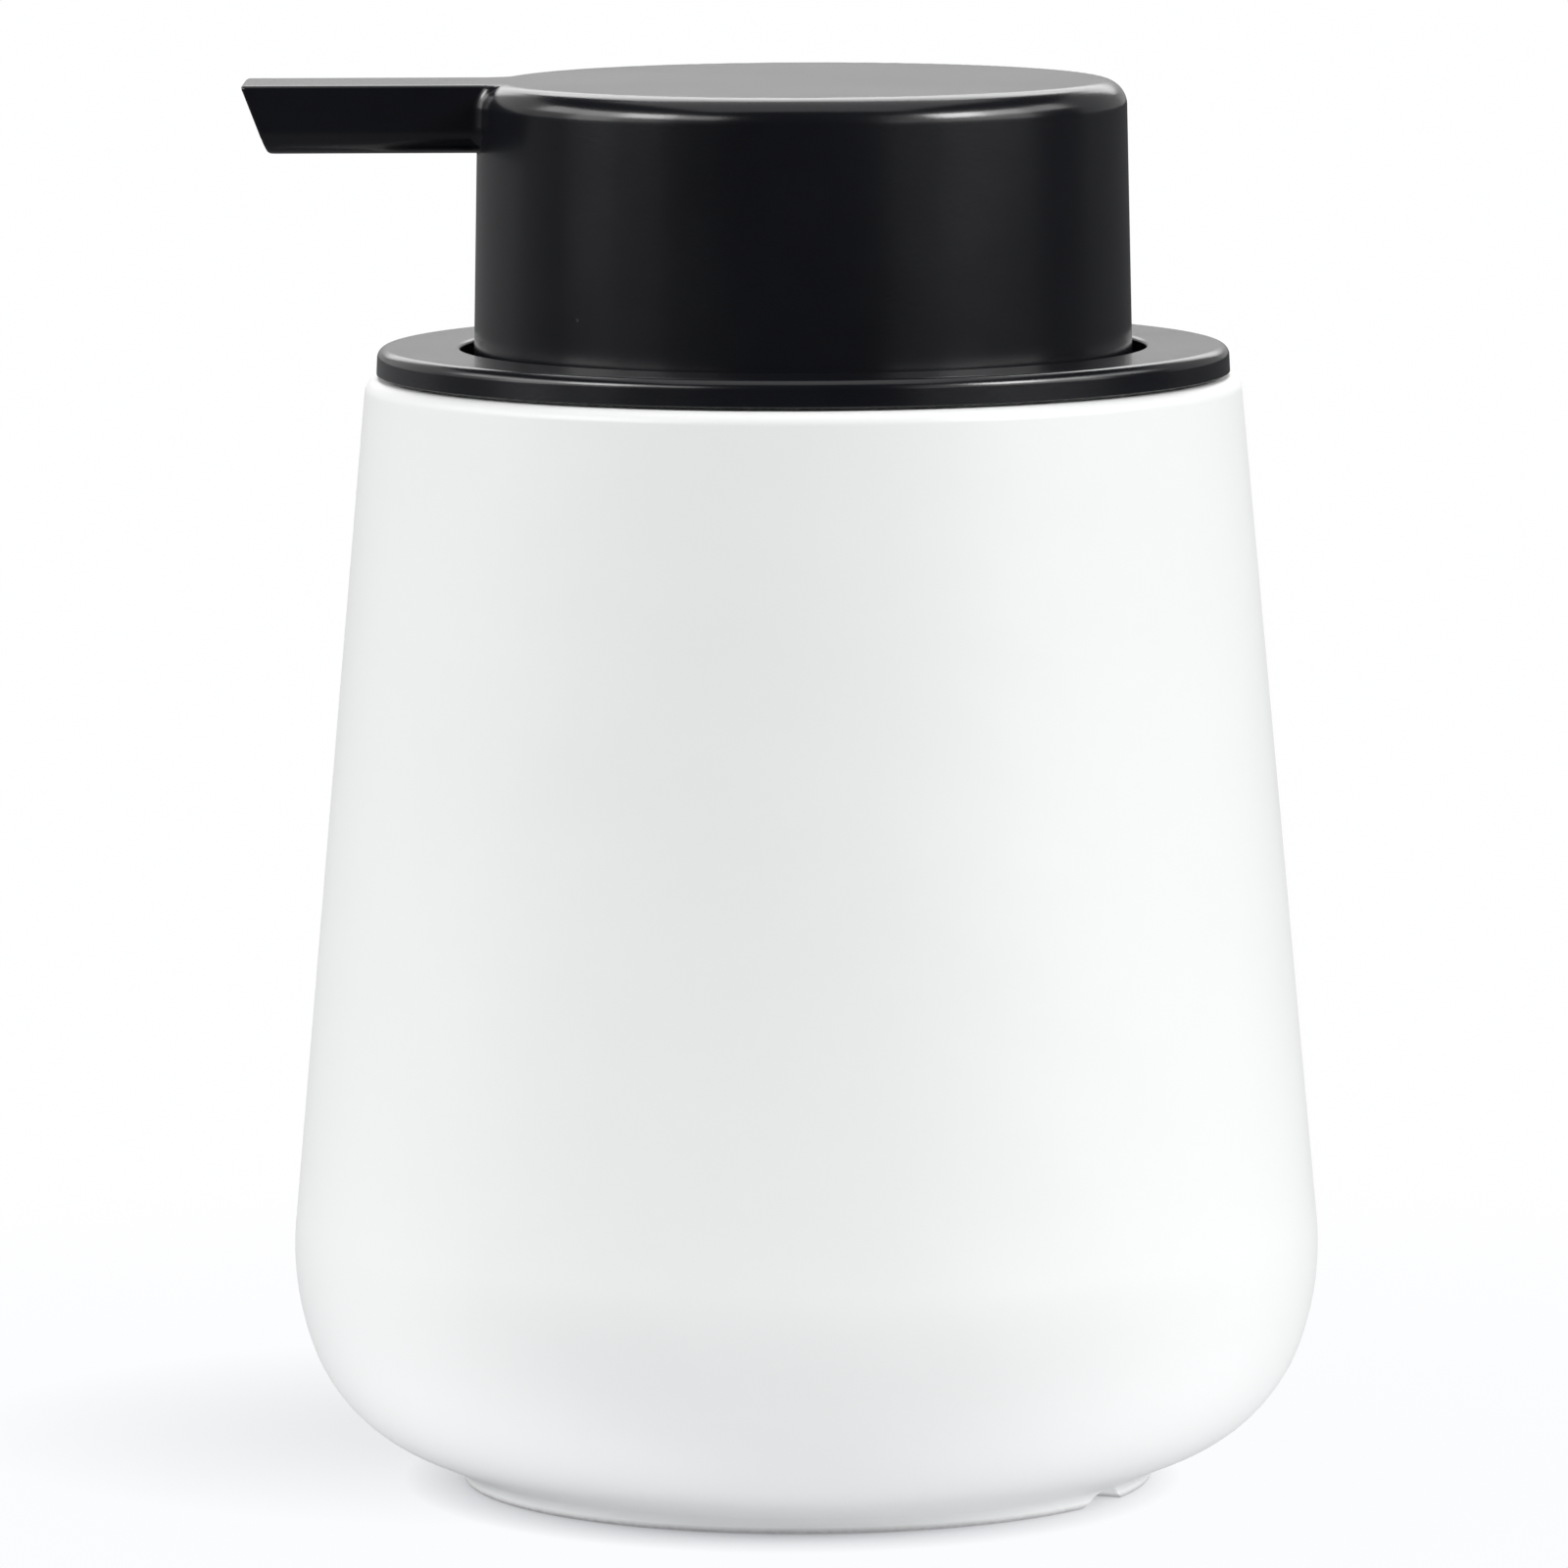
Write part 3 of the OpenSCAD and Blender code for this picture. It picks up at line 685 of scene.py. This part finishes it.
# Name, azimuth, elevation, width, height and radiance: a row of panels on each side, at two
# heights, then the wall behind and the ceiling
PANELS = [
    ("key_right_front", 40, 27.5, 18, 15, 0.65),
    ("key_right", 60, 27.5, 18, 15, 21.2),
    ("key_right_side", 80, 27.5, 18, 15, 6.5),
    ("key_right_rear", 102, 27.5, 21, 15, 2.95),
    ("key_left_front", -40, 27.5, 18, 15, 3.69),
    ("key_left", -60, 27.5, 18, 15, 14.1),
    ("key_left_side", -80, 27.5, 18, 15, 4.9),
    ("key_left_rear", -102, 27.5, 21, 15, 3.70),
    ("low_right_front", 40, 11.5, 20, 17, 1.08),
    ("low_right", 60, 11.5, 20, 17, 2.17),
    ("low_right_side", 80, 11.5, 20, 17, 2.06),
    ("low_left_front", -40, 11.5, 20, 17, 0.22),
    ("low_left", -60, 11.5, 20, 17, 1.41),
    ("low_left_side", -80, 11.5, 20, 17, 2.93),
    ("low_left_rear", -102, 11.5, 24, 17, 0.65),
    ("back_low", 180, 6, 50, 12, 0.47),
    ("back_middle", 180, 21, 46, 18, 2.17),
    ("back_high", 180, 45, 36, 30, 3.91),
    ("back_left", -135, 17.5, 38, 35, 0.60),
    ("back_right", 135, 17.5, 38, 35, 0.33),
    ("ceiling", 0, 90, 58, 58, 0.98),
]
for row in PANELS:
    panel(*row)


def make_world():
    """The camera sees white. The room itself gives next to no light."""
    world = bpy.data.worlds.new("studio")
    scene.world = world
    world.use_nodes = True
    nodes, links = world.node_tree.nodes, world.node_tree.links
    nodes.clear()
    seen = nodes.new("ShaderNodeBackground")
    seen.inputs["Color"].default_value = (1, 1, 1, 1)
    room = nodes.new("ShaderNodeBackground")
    room.inputs["Color"].default_value = (1, 1, 1, 1)
    room.inputs["Strength"].default_value = 0.02
    pick = nodes.new("ShaderNodeMixShader")
    links.new(nodes.new("ShaderNodeLightPath").outputs["Is Camera Ray"], pick.inputs[0])
    links.new(room.outputs[0], pick.inputs[1])
    links.new(seen.outputs[0], pick.inputs[2])
    links.new(pick.outputs[0], nodes.new("ShaderNodeOutputWorld").inputs["Surface"])


def make_floor():
    """A pale sheet. It reflects light near the object. Further off the camera sees it as a painted
    white glow, which also lights the object's underside and shows in the plastic's reflections.
    """
    mesh = bpy.data.meshes.new("floor")
    edit = bmesh.new()
    bmesh.ops.create_grid(edit, x_segments=8, y_segments=8, size=4)
    edit.to_mesh(mesh)
    edit.free()
    floor = bpy.data.objects.new("floor", mesh)
    scene.collection.objects.link(floor)
    floor.location.z = -0.00002
    mat = bpy.data.materials.new("pale_floor")
    mat.use_nodes = True
    mesh.materials.append(mat)
    nodes, links = mat.node_tree.nodes, mat.node_tree.links
    nodes.clear()
    where = nodes.new("ShaderNodeTexCoord").outputs["Object"]
    split = nodes.new("ShaderNodeSeparateXYZ")
    links.new(where, split.inputs[0])
    paths = nodes.new("ShaderNodeLightPath")

    def maths(kind, a, b):
        m = nodes.new("ShaderNodeMath")
        m.operation = kind
        links.new(a, m.inputs[0])
        links.new(b, m.inputs[1])
        return m.outputs[0]

    def reach(place=(0, 0, 0), scale=(1, 1, 1)):
        """Distance from the foot's centre, on a sheet that may be shifted and stretched."""
        oval = nodes.new("ShaderNodeMapping")
        oval.inputs["Location"].default_value = place
        oval.inputs["Scale"].default_value = scale
        links.new(where, oval.inputs["Vector"])
        length = nodes.new("ShaderNodeVectorMath")
        length.operation = "LENGTH"
        links.new(oval.outputs[0], length.inputs[0])
        return length.outputs["Value"]

    away = reach()
    # The sheet itself: slightly cool, dark far off, and painted darker in the plastic's reflections
    pale = spread(nodes, links, away, 0.45, 0.1, 0.16, 0.42)
    dim = spread(nodes, links, paths.outputs["Is Glossy Ray"], 1.0, 0.27, 0.0, 1.0)
    tint = nodes.new("ShaderNodeVectorMath")
    tint.operation = "SCALE"
    tint.inputs[0].default_value = (0.97, 0.985, 1.03)
    links.new(maths("MULTIPLY", pale, dim), tint.inputs["Scale"])
    sheet = nodes.new("ShaderNodeBsdfDiffuse")
    links.new(tint.outputs[0], sheet.inputs["Color"])

    # The painted glow over it: cool near the object, white far off, with a painted soft shade
    # behind on the left
    glow = nodes.new("ShaderNodeEmission")
    far_off = spread(nodes, links, away, 0.0, 1.0, 0.05, 0.18)
    cool = blend_colour(nodes, links, far_off, (0.965, 0.973, 0.990), (0.995, 0.997, 1.0))
    links.new(cool, glow.inputs["Color"])
    soft = spread(nodes, links, reach((0.025, -0.025, 0)), 0.85, 1.0, 0.015, 0.050)
    strong = spread(nodes, links, paths.outputs["Is Diffuse Ray"], 1.0, 1.2, 0.0, 1.0)
    links.new(maths("MULTIPLY", soft, strong), glow.inputs["Strength"])

    # The camera sees the glow from just outside the foot on. The contact shadow that this leaves is
    # painted narrower at the sides, and most so on the right, to stand for the brighter light there
    seen = spread(nodes, links, reach((0.0015, 0, 0), (1.15, 1, 1)), 0.0, 1.0, 0.0265, 0.0385)
    # The belly's underside is lit by the painted glow in a ring. It fades towards the foot, on the
    # left most
    ring = spread(nodes, links, away, 0.4, 1.0, 0.031, 0.043)
    foot_side = spread(nodes, links, split.outputs["X"], 0.27, 0.65, -0.03, 0.03)
    links.new(foot_side, ring.node.inputs["To Min"])
    ring = maths("MULTIPLY", ring, spread(nodes, links, away, 1.0, 0.0, 0.050, 0.07))
    # The plastic's top shows a painted reflection of the glow far behind, on the left most
    behind = maths(
        "MULTIPLY",
        spread(nodes, links, split.outputs["Y"], 0.0, 1.0, 0.2, 0.5),
        spread(nodes, links, split.outputs["X"], 0.16, 0.05, -0.4, 0.4),
    )
    share = maths("MULTIPLY", seen, paths.outputs["Is Camera Ray"])
    for part, ray in ((ring, "Is Diffuse Ray"), (behind, "Is Glossy Ray")):
        share = maths("ADD", share, maths("MULTIPLY", part, paths.outputs[ray]))
    pick = nodes.new("ShaderNodeMixShader")
    links.new(share, pick.inputs[0])
    links.new(sheet.outputs[0], pick.inputs[1])
    links.new(glow.outputs[0], pick.inputs[2])
    links.new(pick.outputs[0], nodes.new("ShaderNodeOutputMaterial").inputs["Surface"])


make_world()
make_floor()
scene.view_settings.view_transform = "Standard"
